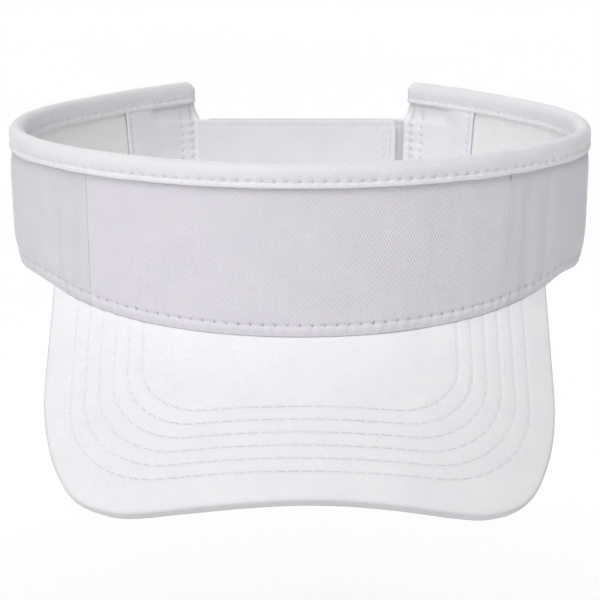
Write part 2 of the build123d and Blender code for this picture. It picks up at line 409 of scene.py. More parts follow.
class Paint:
    """A procedural material that is built node by node."""

    def __init__(self, name, roughness, sheen, specular=0.3):
        self.material = bpy.data.materials.new(name)
        self.material.use_nodes = True
        self.tree = self.material.node_tree
        self.shader = self.tree.nodes["Principled BSDF"]
        for socket, value in (("Roughness", roughness), ("Sheen Weight", sheen),
                              ("Sheen Roughness", 0.45), ("Specular IOR Level", specular)):
            self.shader.inputs[socket].default_value = value
        self.coords = self.tree.nodes.new("ShaderNodeTexCoord")

    def node(self, kind, **values):
        """A node with its settings and its unlinked inputs."""
        made = self.tree.nodes.new(kind)
        for key, value in values.items():
            if hasattr(made, key):
                setattr(made, key, value)
            else:
                made.inputs[key.replace("_", " ")].default_value = value
        return made

    def link(self, source, target):
        self.tree.links.new(source, target)

    def mapped(self, made, space, turn=0.0, scale=(1, 1, 1)):
        """Lay a texture node along a set of coordinates."""
        mapping = self.node("ShaderNodeMapping", Rotation=(0, 0, math.radians(turn)), Scale=scale)
        self.link(self.coords.outputs[space], mapping.inputs["Vector"])
        self.link(mapping.outputs["Vector"], made.inputs["Vector"])
        return made

    def ribs(self, turn, pitch, distortion):
        wave = self.node("ShaderNodeTexWave", wave_type="BANDS", bands_direction="X",
                         wave_profile="SIN", Scale=2 * math.pi / (20 * pitch * MM),
                         Distortion=distortion, Detail=2, Detail_Scale=2.0)
        return self.mapped(wave, "UV", turn).outputs["Fac"]

    def noise(self, size, detail=3, space="UV", stretch=(1, 1, 1), roughness=0.5):
        noise = self.node("ShaderNodeTexNoise", Scale=1 / (size * MM), Detail=detail,
                          Roughness=roughness)
        return self.mapped(noise, space, scale=stretch).outputs["Fac"]

    def cells(self, size):
        voronoi = self.node("ShaderNodeTexVoronoi", Scale=1 / (size * MM))
        return self.mapped(voronoi, "UV").outputs["Distance"]

    def weigh(self, *parts):
        """The sum of heights, each a source and its share."""
        total = None
        for source, share in parts:
            scaled = self.node("ShaderNodeMath", operation="MULTIPLY")
            self.link(source, scaled.inputs[0])
            scaled.inputs[1].default_value = share
            if total is None:
                total = scaled
                continue
            added = self.node("ShaderNodeMath", operation="ADD")
            self.link(total.outputs[0], added.inputs[0])
            self.link(scaled.outputs[0], added.inputs[1])
            total = added
        return total.outputs[0]

    def ramp(self, fac, *stops):
        """Colours along a value, each stop a place and its colour."""
        made = self.node("ShaderNodeValToRGB")
        elements = made.color_ramp.elements
        for place, _ in stops[1:-1]:
            elements.new(place)
        for element, (place, colour) in zip(elements, stops):
            element.position, element.color = place, (*colour, 1)
        self.link(fac, made.inputs["Fac"])
        return made.outputs["Color"]

    def multiply(self, a, b, attribute=None):
        """Colour a multiplied by colour b, as far as a vertex attribute says if one is named."""
        made = self.node("ShaderNodeMix", data_type="RGBA", blend_type="MULTIPLY")
        factor, first, second = made.inputs[0], made.inputs[6], made.inputs[7]
        factor.default_value = 1.0
        if attribute:
            marks = self.node("ShaderNodeAttribute", attribute_name=attribute)
            self.link(marks.outputs["Fac"], factor)
        self.link(a, first)
        self.link(b, second)
        return made.outputs[2]

    def finish(self, colour, rough, low, high, *bumps):
        """Set the colour, the roughness's range, and bumps: source, distance and strength."""
        self.link(colour, self.shader.inputs["Base Color"])
        spread = self.node("ShaderNodeMapRange", To_Min=low, To_Max=high)
        self.link(rough, spread.inputs["Value"])
        self.link(spread.outputs["Result"], self.shader.inputs["Roughness"])
        last = None
        for source, distance, strength in bumps:
            made = self.node("ShaderNodeBump", Distance=distance * MM, Strength=strength)
            self.link(source, made.inputs["Height"])
            if last:
                self.link(last.outputs["Normal"], made.inputs["Normal"])
            last = made
        self.link(last.outputs["Normal"], self.shader.inputs["Normal"])
        return self.material


WHITE = (1, 1, 1)
RIM_SHADE = (0.8, 0.8, 0.81)  # what the bill's rounded rim keeps of its colour under painted shade, as it faces down
CREASE_SHADE = (0.4, 0.4, 0.42)  # what painted shade in a deep crease keeps of the colour


def shade(colour, factor):
    return tuple(c * factor for c in colour)


def twill(name, colour, turn, groove_shade, pitch=0.8):
    """Cotton twill: diagonal ribs crossed by yarns with painted shade in their grooves, uneven yarn
    thickness, faint soiling, and painted shade where the rim and crease attributes say.
    """
    paint = Paint(name, 0.88, 0.25)
    fuzz, slub = paint.noise(0.5, 4), paint.noise(2.2, stretch=(0.25, 1.6, 1))
    weave = paint.weigh((paint.ribs(turn, pitch, 1.1), 0.7),
                        (paint.ribs(turn + 62, pitch * 0.5, 0.8), 0.3), (fuzz, 0.5))
    # The weave's grooves are painted darker as shade.
    base = paint.ramp(weave, (0.25, shade(colour, groove_shade)), (0.75, colour),
                      (1.0, shade(colour, 1.012)))
    patch = paint.ramp(paint.noise(16), (0.3, (0.962, 0.962, 0.968)), (0.7, WHITE))
    streak = paint.ramp(slub, (0.3, shade(WHITE, 0.985)), (0.6, WHITE))
    # Painted shade on the bill's rim, as far as the rim attribute says.
    painted_rim_shade = paint.ramp(paint.noise(0.8), (0.2, shade(RIM_SHADE, 0.93)), (0.8, shade(RIM_SHADE, 1.04)))
    shadow = paint.ramp(fuzz, (0.3, shade(CREASE_SHADE, 0.85)), (0.7, shade(CREASE_SHADE, 1.15)))
    cloth = paint.multiply(paint.multiply(base, patch), streak)
    cloth = paint.multiply(paint.multiply(cloth, painted_rim_shade, "rim"), shadow, "crease")
    return paint.finish(cloth, fuzz, 0.82, 0.95, (weave, 0.108, 0.5), (slub, 0.08, 0.35))


def terry(name, colour):
    """Brushed terry: short loops with a soft uneven nap."""
    paint = Paint(name, 0.96, 0.35)
    loops, nap, patch = paint.cells(0.75), paint.noise(1.4, 5, roughness=0.7), paint.noise(9)
    base = paint.ramp(nap, (0.25, shade(colour, 0.94)), (0.75, colour))
    # Painted shade in the hollows between the loops.
    loop_shade = paint.ramp(loops, (0.0, WHITE), (0.9, (0.95, 0.95, 0.955)))
    tone = paint.ramp(patch, (0.3, (0.97, 0.975, 0.96)), (0.7, WHITE))
    cloth = paint.multiply(paint.multiply(base, loop_shade), tone)
    height = paint.weigh((loops, 0.7), (nap, 1.0))
    return paint.finish(cloth, nap, 0.9, 1.0, (height, 0.25, 0.6), (patch, 0.3, 0.3))


def thread(name, colour):
    """Twisted polyester sewing thread."""
    paint = Paint(name, 0.6, 0.1, 0.45)
    twist = paint.ribs(35, 0.35, 0.3)
    # The twist's grooves are painted darker as shade.
    base = paint.ramp(twist, (0.2, shade(colour, 0.86)), (0.8, colour))
    tone = paint.ramp(paint.noise(6, 2, "Object"), (0.3, shade(WHITE, 0.97)), (0.7, WHITE))
    shadow = paint.ramp(twist, (0.2, shade(CREASE_SHADE, 0.9)), (0.8, shade(CREASE_SHADE, 1.1)))
    yarn = paint.multiply(paint.multiply(base, tone), shadow, "crease")
    return paint.finish(yarn, twist, 0.5, 0.7, (twist, 0.05, 0.6))


def pile(name, colour, size, gloss):
    """Woven loop pile or moulded hook backing."""
    paint = Paint(name, gloss, 0.3)
    loops, nap = paint.cells(size), paint.noise(size * 0.7, 5, roughness=0.7)
    base = paint.ramp(nap, (0.25, shade(colour, 0.86)), (0.8, colour))
    # Painted shade between the loops, darker away from each loop.
    tone = paint.ramp(loops, (0.0, WHITE), (0.9, (0.9, 0.9, 0.91)))
    height = paint.weigh((loops, 1.0), (nap, 1.0))
    return paint.finish(paint.multiply(base, tone), nap, gloss - 0.08, min(1.0, gloss + 0.08),
                        (height, 0.2, 0.7))


def stiff_sheet(name, colour, gloss, grain):
    """Smooth moulded board or open woven buckram, seen only inside the seams."""
    paint = Paint(name, gloss, 0.0, 0.4)
    cross = paint.weigh((paint.noise(grain, space="Object", stretch=(1, 1, 3)), 1.0),
                        (paint.noise(grain, space="Object", stretch=(3, 1, 1)), 1.0))
    base = paint.ramp(cross, (0.35, shade(colour, 0.88)), (1.0, colour))
    tone = paint.ramp(paint.noise(20, 2, "Object"), (0.3, shade(WHITE, 0.95)), (0.7, WHITE))
    return paint.finish(paint.multiply(base, tone), cross, gloss - 0.1, gloss + 0.1,
                        (cross, 0.15, 0.4))


PANEL_CLOTH = twill("panel twill", (0.785, 0.773, 0.815), -28, 0.81, 0.9)
# The side panels are the same white twill as the front panel, painted darker as shade on the sides.
SIDE_CLOTH_SHADED = twill("side panel twill painted darker as shade", (0.725, 0.72, 0.75), -28, 0.92, 0.9)
# The facings are the same white twill too, painted lighter to stand in for light inside the rear.
FACING_CLOTH_LIT = twill("facing twill painted lighter as light", (0.865, 0.857, 0.89), -28, 0.94)
BILL_CLOTH = twill("bill twill", (0.88, 0.879, 0.887), 28, 0.87)
BINDING_CLOTH = twill("binding twill, cut on the bias", (0.86, 0.857, 0.876), -74, 0.86, 0.85)
STRAP_CLOTH = twill("strap twill", (0.80, 0.80, 0.81), -28, 0.94)
TERRY = terry("terry", (0.93, 0.928, 0.93))
THREAD = thread("thread", (0.84, 0.84, 0.86))
LOOP_PILE = pile("loop pile", (0.78, 0.78, 0.79), 0.8, 0.92)
HOOK_NYLON = pile("hook nylon", (0.76, 0.76, 0.75), 0.6, 0.45)
BUCKRAM = stiff_sheet("buckram", (0.75, 0.75, 0.73), 0.8, 0.9)
BOARD = stiff_sheet("visor board", (0.8, 0.8, 0.78), 0.5, 1.5)


# ---------------------------------------------------------------- the front and side panels

HEM_ROW = 3.8
HEM_PITCH = 4.05
BINDING_LOW = 40.35
NEAR_HEM = np.arange(0.75, 6.6, 0.33)
UNDER_BINDING = np.concatenate((np.arange(39.3, 41.2, 0.2), (42.2, 43.4, 44.6)))
# Upright creases at the temples: distance along the band, height and width.
TEMPLE_FOLDS = ((71.0, 0.14, 2.2), (79.5, 0.24, 1.9), (84.0, -0.2, 2.4), (88.5, 0.2, 2.0),
                (94.0, -0.26, 1.8), (98.5, 0.24, 2.4))


def panel_relief(s, z):
    """Hem, puckers and soft bulges of the outer cloth, outwards."""
    a = np.abs(s)
    h = z - hem(s)
    hole = pits(s, HEM_PITCH, 0.5)
    beat = ripple(s, HEM_PITCH) * (1 + 0.35 * waves(s, 0 * s, 3, 25))
    groove = -0.2 * bell(h, HEM_ROW, 0.6) - 0.42 * hole * bell(h, HEM_ROW, 0.5)
    pucker = beat * (-0.13 * bell(h, HEM_ROW - 1.5, 1.3) - 0.05 * bell(h, HEM_ROW + 1.3, 1.3))
    welt = 0.2 * bell(h, 2.0, 1.1)
    pinch = np.where(z > LEG_LOW, -0.3, -0.22 * step(3.5, 0.4, np.abs(z - LEG_LOW)))
    sway = 0.22 * waves(s, z * 0.6, 11, 38) + 0.10 * waves(s * 1.4, z * 0.4, 12, 13)
    sway = sway * step(0, 8, h) * (1 - step(30, 40, z))
    ear = step(84, 122, a) * (1 - step(185, 225, a))
    turned_in = 0.75 * step(np.where(s > 0, 6.5, 9), 0, z)
    bulge = ear * (1.05 * step(44, 31, z) * step(-4, 14, z) - turned_in)
    drift = 0.6 * waves(z, 0 * z, 21, 30)
    folds = sum(height * bell(a, where + drift, width) for where, height, width in TEMPLE_FOLDS)
    folds = folds * step(1, 7, h) * (1 - 0.45 * step(26, 40, z))
    crimp = 0.2 * waves(s, z * 0.2, 31, 7) * bell(a, 84, 14) * step(20, 3, h) * step(0.5, 4, h)
    return groove + pucker + welt + pinch + sway + bulge + folds + crimp


def panel_crease(s, z):
    """Shadow on the panel's two faces: stitch holes, folded edge, and under the binding."""
    h = z - hem(s)
    fold = step(0.35, 0.0, h)
    shown = (0.66 - 0.42 * step(58, 92, np.abs(s))) * (1 + 0.5 * waves(s, 0 * s, 5, 9))
    outer = shown * pits(s, HEM_PITCH, 0.36) * bell(h, HEM_ROW, 0.38)
    outer = np.maximum(outer, 0.6 * fold)
    outer = np.maximum(outer, 0.8 * bell(z, BINDING_LOW - 0.1, 0.3))
    notch = bell(s, S_SEAM["right"], 0.6) * step(37.4, 38.8, z) * (s > 0)
    return np.maximum(outer, 0.5 * notch), 0.4 * fold


def panel_levels(s):
    """Heights on a panel: fine rows near its hem and under the binding, even ones between."""
    low = hem(s)[:, None]
    share = np.linspace(0, 1, 31)
    between = (low + 7.3) * (1 - share) + 38.6 * share
    under = np.broadcast_to(UNDER_BINDING, (len(s), len(UNDER_BINDING)))
    return np.concatenate((low + NEAR_HEM, between, under), 1)


front_s = beats(-S_SEAM["left"], S_SEAM["right"], HEM_PITCH, 8, 0.3)
panel = strip("front_panel_cloth", front_s, hem, panel_levels, PANEL_OFF - 0.45, 0.45, PANEL_CLOTH,
              relief=panel_relief, ends=0.3, crease=panel_crease)
settle(panel, "white_twill", "front", "front_panel")

for side, hand in HANDS:
    rear = REAR_END[side]
    s = (hand * beats(S_SEAM[side], rear, HEM_PITCH, 8, 0.35))[::hand]
    panel = strip(f"side_panel_cloth_{side}", s, hem, panel_levels, PANEL_OFF - 0.52, 0.52,
                  SIDE_CLOTH_SHADED, relief=panel_relief, ends=0.35, crease=panel_crease)
    # The end swells towards the strap it holds.
    co = np.array([v.co for v in panel.data.vertices]) / MM
    end = wall(hand * rear, 20, -1.6)
    along = end - wall(hand * (rear - 1), 20, -1.6)
    near = step(-7, 0, (co - end) @ along) * step(40, 33.5, co[:, 2]) * step(3, 8, co[:, 2])
    co = co + FLARE_OUT * near[:, None] * along
    panel.data.vertices.foreach_set("co", (co * MM).ravel())
    panel.data.update()
    settle(panel, "white_twill", temple(side), f"side_panel_{side}")


# ---------------------------------------------------------------- the top binding

BINDING_PITCH = 4.0
# The folded strip in section, as distances outwards and heights: its outer face and its back.
OUTER_PATH = [(-1.04, 40.9), (-0.66, 40.4), (-0.18, 40.3), (0.13, 40.6), (0.14, 41.1),
              (0.0, 41.7), (-0.19, 42.12), (-0.26, 42.4), (-0.2, 42.75), (-0.02, 43.6),
              (0.06, 44.8), (-0.1, 46.0), (-0.55, 47.05), (-1.3, 47.8), (-2.2, 48.2),
              (-3.15, 48.15), (-4.05, 47.7), (-4.75, 46.9), (-5.15, 45.9), (-5.28, 44.9),
              (-5.22, 44.0), (-5.06, 43.1), (-4.93, 42.5), (-4.9, 42.2), (-4.98, 41.8),
              (-5.2, 41.25), (-5.3, 40.65), (-5.16, 40.25), (-4.84, 40.15), (-4.46, 40.6)]
INNER_PATH = [(-1.06, 41.0), (-1.06, 42), (-1.06, 44), (-1.06, 45.6), (-1.5, 46.7), (-2.5, 47.3),
              (-3.3, 47.2), (-4.0, 46.6), (-4.4, 45.6), (-4.4, 44), (-4.4, 42), (-4.4, 40.8)]
MIDDLE_OFF = -2.6
ROW_OUT = (-0.26, 42.4)
ROW_IN = (-4.9, 42.2)
BINDING_ENDS = {"left": REAR_END["left"] - 0.6, "right": REAR_END["right"] - 0.1}
RIDGE = 48.2
CORNER = 3.0


def resampled(path, count):
    """A smooth curve through the points, cut into even lengths, with the distance along it."""
    path = np.array(path, float)
    around = np.vstack((2 * path[0] - path[1], path, 2 * path[-1] - path[-2]))
    t = np.linspace(0, 1, 9)[:-1, None]
    curve = [0.5 * (2 * p1 + (p2 - p0) * t + (2 * p0 - 5 * p1 + 4 * p2 - p3) * t**2
                    + (3 * p1 - p0 - 3 * p2 + p3) * t**3)
             for p0, p1, p2, p3 in zip(around, around[1:], around[2:], around[3:])]
    return even_run(np.vstack(curve + [path[-1:]]), count=count)


ring, ring_run = resampled(OUTER_PATH, 72)
lining, _ = resampled(INNER_PATH, 72)
ring_out = right_of(ring)
GROOVE_OUT, GROOVE_IN = (ring_run[np.argmin(np.hypot(*(ring - row).T))]
                         for row in (ROW_OUT, ROW_IN))


def binding_relief(a, run):
    """Puckers at the stitches and soft lumps of the roll, outwards from the section."""
    still = step(0, 8, a)
    lumps = 0.11 * waves(a, run * 1.5, 41, 11) * still
    size = 0.12 + 0.06 * waves(a, 0 * a, 42, 24) * still
    pucker = 0.0
    for row, deep in ((GROOVE_OUT, 0.3), (GROOVE_IN, 0.16)):
        pucker = pucker - ripple(a, BINDING_PITCH) * size * bell(run, row, 1.4)
        pucker = pucker - deep * pits(a, BINDING_PITCH, 0.5) * bell(run, row, 0.45)
    return lumps + pucker


def binding_crease(a, run):
    """Shadow at the stitch holes, fainter towards the ears."""
    hole = pits(a, BINDING_PITCH, 0.4)
    shown = (1 + 0.45 * waves(a, 0 * a, 43, 8)) * (0.42 - 0.24 * step(55, 90, a))
    return hole * np.maximum(shown * bell(run, GROOVE_OUT, 0.32),
                             0.12 * bell(run, GROOVE_IN, 0.32))


for side, hand in HANDS:
    rear = BINDING_ENDS[side]
    a = np.concatenate((np.arange(0, rear - CORNER - 0.2, 0.5),
                        rear - CORNER * (1 - np.sin(np.linspace(0, np.pi / 2, 12)))))
    ag, run = np.meshgrid(a, ring_run, indexing="ij")
    lift = binding_relief(ag, run)[..., None]
    # Towards the rear end the roll drops, thins and closes over its lining.
    drop = np.sqrt(1 - np.clip((a - (rear - CORNER)) / CORNER, 0, 1) ** 2)[:, None]
    thin = (1 - 0.3 * step(rear - 1.6, rear, a))[:, None]
    plug = 0.93 * step(rear - 1.8, rear - 0.5, a)[:, None]
    outer = ring + lift * ring_out
    inner = np.broadcast_to(lining[::-1], outer.shape).copy()
    inner[..., 0] += (MIDDLE_OFF - 0.1 - inner[..., 0]) * plug
    columns = []
    for off, z in (np.moveaxis(outer, -1, 0), np.moveaxis(inner, -1, 0)):
        z = z - np.maximum(z - (RIDGE - CORNER), 0) * (1 - drop)
        columns.append(wall(hand * ag, z, MIDDLE_OFF + (off - MIDDLE_OFF) * thin))
    v = np.concatenate((run, run[:, -1:] + (run[:, -1:] - run[:, ::-1])), 1)
    uv = np.stack((hand * np.concatenate((ag, ag), 1), v), -1)
    binding = skin(f"top_binding_{side}", np.concatenate(columns, 1), uv, BINDING_CLOTH)
    mark(binding, "crease", np.concatenate((binding_crease(ag, run), 0 * run), 1))
    settle(binding, "binding_twill", temple(side), f"side_binding_{side}", "front_binding")

    starts, ends = dashes(0.2, rear - 1.0, BINDING_PITCH, 0.74)
    normals = wall_normal(hand * (starts + ends) / 2)
    rows = [(wall(hand * starts, z - 0.16 * way, off), wall(hand * ends, z + 0.16 * way, off),
             way * normals, 0.0) for (off, z), way in ((ROW_OUT, 1), (ROW_IN, -1))]
    seam = stitches(f"binding_stitches_{side}", rows, lift=0.02, sink=0.25)
    settle(seam, "binding_twill", temple(side))


# ---------------------------------------------------------------- the terry sweatband

def terry_back(s, z):
    return 0.09 * waves(s, z, 51, 3.4, 14) + 0.14 * waves(s, z, 52, 17)


def terry_low(s):
    """The terry's edge shows below the front panel, and stays behind the side panels' hem."""
    front = 1 - step(60, 84, np.abs(s))
    return hem(s) - 1.3 * front + 0.35 * (1 - front)


def terry_levels(s):
    share = np.linspace(0, 1, 36)
    return (terry_low(s)[:, None] + 1.4) * (1 - share) + 45.0 * share


for side, hand in HANDS:
    s = (hand * np.linspace(0, S_TERRY_END, 179))[::hand]
    band = strip(f"sweatband_terry_{side}", s, terry_low, terry_levels, -3.5, 0.8, TERRY,
                 back=terry_back, ends=0.001)
    settle(band, "terry", temple(side), f"side_sweatband_{side}", "front_sweatband")


# ---------------------------------------------------------------- facings at the rear ends

FACING_ENDS = {side: rear - 0.5 for side, rear in REAR_END.items()}
FACING_ROWS = (3.2, 7.3)
FACING_EDGE_ROW = 2.4
FACING_TOP = 41.0
FACING_PITCH = 3.1
FACING_LEVELS = np.arange(FACING_PITCH / 4, FACING_TOP - 1.0, FACING_PITCH / 8)


def facing_end(s):
    return np.where(s < 0, FACING_ENDS["left"], FACING_ENDS["right"])


def facing_lean(s, z):
    """The facing's front edge leans forwards towards its top, its rear edge swells at the strap."""
    a = np.abs(s)
    rear = 0.9 * FLARE_OUT * step(8, 0, facing_end(s) - a) * step(38.8, 34.2, z) * step(3, 8, z)
    return np.sign(s) * (rear - 0.07 * (z - 14) * step(S_FACING + 14, S_FACING, a))


def facing_relief(s, z):
    """The facing's sewn rows and its soft hollows, away from the head."""
    a = np.abs(s)
    left = facing_end(s) - a
    hole = pits(z, FACING_PITCH, 0.5)
    rows = bell(a, S_FACING + FACING_EDGE_ROW, 0.7) * (0.14 + 0.35 * hole)
    for row in FACING_ROWS:
        rows = rows + bell(left, row, 0.7) * (0.14 + 0.32 * hole)
        rows = rows + 0.08 * ripple(z, FACING_PITCH) * bell(left, row, 1.7)
    hollow = 0.55 * bell(left, 6, 3.4) * bell(z, 35.5, 3)
    edge = -0.15 * bell(a, S_FACING + 0.7, 0.9)
    edge = edge - 0.3 * bell(left, 1.2, 1.0) + 0.25 * bell(left, 2.7, 0.45)
    soft = 0.16 * waves(s, z, 61, 12) + 0.12 * waves(s, z * 0.5, 62, 6)
    return rows + hollow + edge + soft


def facing_middle(s, z):
    """The facing lies over the terry and the strap's root, and pulls in where there is neither."""
    strap = step(4.5, 9.5, z) * (1 - step(32.5, 36.5, z))
    pull = 1.15 * (1 - strap) * step(231, 238, np.abs(s))
    tuck = 0.3 * step(37.2, 39.8, z)
    over = 0.95 * strap * step(4.0, 0.2, facing_end(s) - np.abs(s))
    return -4.9 + np.minimum(pull + facing_relief(s, z) + tuck, 1.5) - over


def facing_crease(s, z):
    """Shadow on the facing's side towards the head: stitch holes and the folded edge."""
    left = facing_end(s) - np.abs(s)
    hole = pits(z, FACING_PITCH, 0.42)
    dark = np.maximum(0.3 * bell(left, 2.7, 0.3),
                      0.35 * hole * bell(np.abs(s), S_FACING + FACING_EDGE_ROW, 0.42))
    for row in FACING_ROWS:
        dark = np.maximum(dark, 0.42 * hole * bell(left, row, 0.42))
    return 0 * dark, dark * step(1, 3, z)


for side, hand in HANDS:
    s = (hand * spaced(S_FACING, FACING_ENDS[side], 0.4, 0.45))[::hand]
    facing = strip(f"end_facing_cloth_{side}", s, 0.6, FACING_LEVELS, facing_middle, 0.34,
                   FACING_CLOTH_LIT, lean=facing_lean, ends=0.45, top=FACING_TOP, crease=facing_crease)
    settle(facing, "white_twill", f"side_{side}", f"end_facing_{side}")

    # The rear rows go through both faces, the front edge's row shows only towards the head.
    starts, ends = dashes(2.5, 38.5, FACING_PITCH, 0.72)
    sewn = [(FACING_ENDS[side] - row, way) for row in FACING_ROWS for way in (-1, 1)]
    rows = []
    for place, way in (*sewn, (S_FACING + FACING_EDGE_ROW, -1)):
        s = hand * place + 0 * starts
        row = [wall(s + facing_lean(s, z), z, facing_middle(s, z) - 0.36 if way < 0 else -0.9)
               for z in (starts, ends)]
        rows.append((*row, way * wall_normal(s), 0.0))
    settle(stitches(f"end_stitches_{side}", rows, lift=0.06), "white_twill", f"side_{side}")


# ---------------------------------------------------------------- stitches along the hem

def hem_stitches(name, low, high, hold):
    starts, ends = dashes(low, high, HEM_PITCH, 0.78)
    row = [wall(s, hem(s) + HEM_ROW, PANEL_OFF + panel_relief(s, hem(s) + HEM_ROW) + 0.02)
           for s in (starts, ends)]
    row += [wall_normal((starts + ends) / 2), 0.0]
    settle(stitches(name, [row], width=0.44), "white_twill", hold)


hem_stitches("hem_stitches_front", -S_SEAM["left"] + 1, S_SEAM["right"] - 1, "front")
hem_stitches("hem_stitches_right", S_SEAM["right"] + 1, REAR_END["right"] - 2, temple("right"))
hem_stitches("hem_stitches_left", -REAR_END["left"] + 2, -S_SEAM["left"] - 1, temple("left"))


# ---------------------------------------------------------------- the bill

BILL_REACH, CORNER_X, CORNER_R, CORNER_TURN, SIDE_BOW = 60.5, 53.5, 22.5, math.radians(25), 101.4
TAIL_T = -36.8


def arc(centre, radius, start, end):
    turn = np.linspace(start, end, 60)
    return centre + radius * np.stack((np.cos(turn), np.sin(turn)), -1)


def bill_outline():
    """Right half of the bill's flat outline, from the front middle to the tail."""
    centre = np.array((CORNER_X, BILL_REACH - CORNER_R))
    way = np.array((math.cos(CORNER_TURN), math.sin(CORNER_TURN)))
    front = np.linspace((0, BILL_REACH), (CORNER_X, BILL_REACH), 60)
    corner = arc(centre, CORNER_R, math.pi / 2, CORNER_TURN)
    side = arc(centre + way * (CORNER_R - SIDE_BOW), SIDE_BOW, CORNER_TURN, 0)
    tail = np.linspace(side[-1], (side[-1, 0], TAIL_T), 60)
    return even_run(np.vstack((front[:-1], corner[:-1], side[:-1], tail)), count=231)


half_outline, half_run = bill_outline()
outline = np.vstack((half_outline[:0:-1] * (-1, 1), half_outline))
outline_run = np.concatenate((-half_run[:0:-1], half_run))

# The cover stands a little outside the drawn pattern, and not alike on both sides.
STAND_RUN = (-165, -125, -90, -78, -64, -48, -32, 0, 15, 47, 62, 80, 95, 120)
STAND_OUT = (0.3, 0.8, 1.1, 0.6, -0.6, 1.4, 1.4, 0.3, 0.3, 1.5, 0.7, 1.6, 1.4, 0.2)
stand = np.pad(np.interp(outline_run, STAND_RUN, STAND_OUT), 8, "edge")
stand = np.convolve(stand, np.hanning(19)[1:-1] / np.hanning(19).sum(), "valid")
inward = right_of(outline)
outline = outline - inward * stand[:, None]

# The root is where the covers meet the band.
S_TAIL = float(np.interp(-0.8, arch_level(EDGE_S[:300], -2.45), EDGE_S[:300]))
root_s = outline_run / half_run[-1] * S_TAIL
root_points = wall(root_s, arch_level(root_s, -2.5), -2.5)
root = np.stack((root_points[:, 0], (root_points - BILL_ROOT) @ BILL_DOWN), -1)
half_root = root_points[len(root_points) // 2 :]


def row_curve(share):
    """Right half of one stitch row on the flat pattern, from the front middle to the tail."""
    front, side = 26.1 + 24.0 * share, 51.3 + 23.2 * share
    rx, ry = 21 + 11 * share, 21 + 13 * share
    turn = np.linspace(np.pi / 2, 0, 90)
    bend = np.stack((np.cos(turn), np.sin(turn)), -1) * (rx, ry) + (side - rx, front - ry)
    mid = np.linspace((0, front), (side - rx, front), 60)[:-1]
    back = np.linspace((side, front - ry), (side, -34), 81)[1:]
    return even_run(np.vstack((mid, bend, back)), pitch=0.5)


ROWS = [row_curve(k / 5) for k in range(6)]
ROW_PITCH = 4.2


def row_distance(x, t):
    """Distance to the nearest stitch row and the position along it."""
    points = np.vstack([row for row, _ in ROWS])
    sideways = np.vstack([right_of(row) for row, _ in ROWS])
    flat = np.stack((np.abs(x), t), -1).reshape(-1, 2)
    nearest = np.concatenate([((part[:, None] - points) ** 2).sum(-1).argmin(1)
                              for part in np.array_split(flat, 60)])
    away = flat - points[nearest]
    far = np.hypot(*away.T)
    gap = np.where(far > 1.0, far, np.abs((away * sideways[nearest]).sum(-1)))
    place = np.concatenate([even for _, even in ROWS])[nearest]
    return gap.reshape(x.shape), place.reshape(x.shape)


def calmer(x):
    """The rows' shade, less at the sides of the bill."""
    return 1 - 0.6 * step(35, 65, np.abs(x))


# Both covers share one face pattern: columns from the root to where the edge begins to round.
EDGE_INSET = 0.95
CLOTH = 0.75
ALONG = np.concatenate((np.linspace(0, 1, 122)[:-1] ** 0.96, [1.0]))
face_edge = outline + inward * EDGE_INSET
face_x, face_t = (root[:, None, k] + (face_edge - root)[:, None, k] * ALONG for k in range(2))
row_gap, row_place = row_distance(face_x, face_t)


def bill_relief(x, t):
    """Depth of the sewn channels and the soft rise between them, into the bill."""
    channel = 0.24 * bell(row_gap, 0, 0.5) * (0.85 + 0.15 * ripple(row_place, ROW_PITCH))
    rise = 0.05 * (1 - bell(np.minimum(row_gap, 3.2), 0, 2.0))
    soft = 0.10 * waves(x, t, 71, 24) + 0.03 * waves(x, t, 72, 6)
    edge = np.hypot(x - face_edge[:, None, 0], t - face_edge[:, None, 1])
    return (channel * (0.5 + 0.5 * calmer(x)) - rise + soft) * step(0.0, 2.5, edge)


face_relief = bill_relief(face_x, face_t)
rim_turn = np.linspace(0, np.pi / 2, 7)[1:]
RIM_SIN, RIM_COS = np.sin(rim_turn), np.cos(rim_turn)
# Each cover round the rim and into the seam: inset and depth of its face, then of its back.
TOP_WRAP = np.vstack((
    np.stack((0.95 - 0.95 * RIM_SIN, 0.95 - 0.95 * RIM_COS,
              0.95 - 0.18 * RIM_SIN, 0.9 - 0.12 * RIM_COS), -1),
    ((0.0, 1.5, 0.78, 1.5), (0.0, 2.1, 0.78, 2.1), (0.0, 2.6, 0.78, 2.6),
     (0.12, SEAM_DEPTH - 0.05, 0.78, SEAM_DEPTH - 0.08), (0.4, SEAM_DEPTH, 0.8, SEAM_DEPTH))))
UNDER_WRAP = np.vstack((
    np.stack((0.95 - 0.85 * RIM_SIN, BILL_THICK - 0.5 + 0.5 * RIM_COS,
              0.95 - 0.1 * RIM_SIN, BILL_THICK - 0.68 - 0.02 * RIM_SIN), -1),
    ((0.2, SEAM_DEPTH + 0.12, 0.84, SEAM_DEPTH + 0.06),
     (0.45, SEAM_DEPTH + 0.04, 0.85, SEAM_DEPTH + 0.03))))


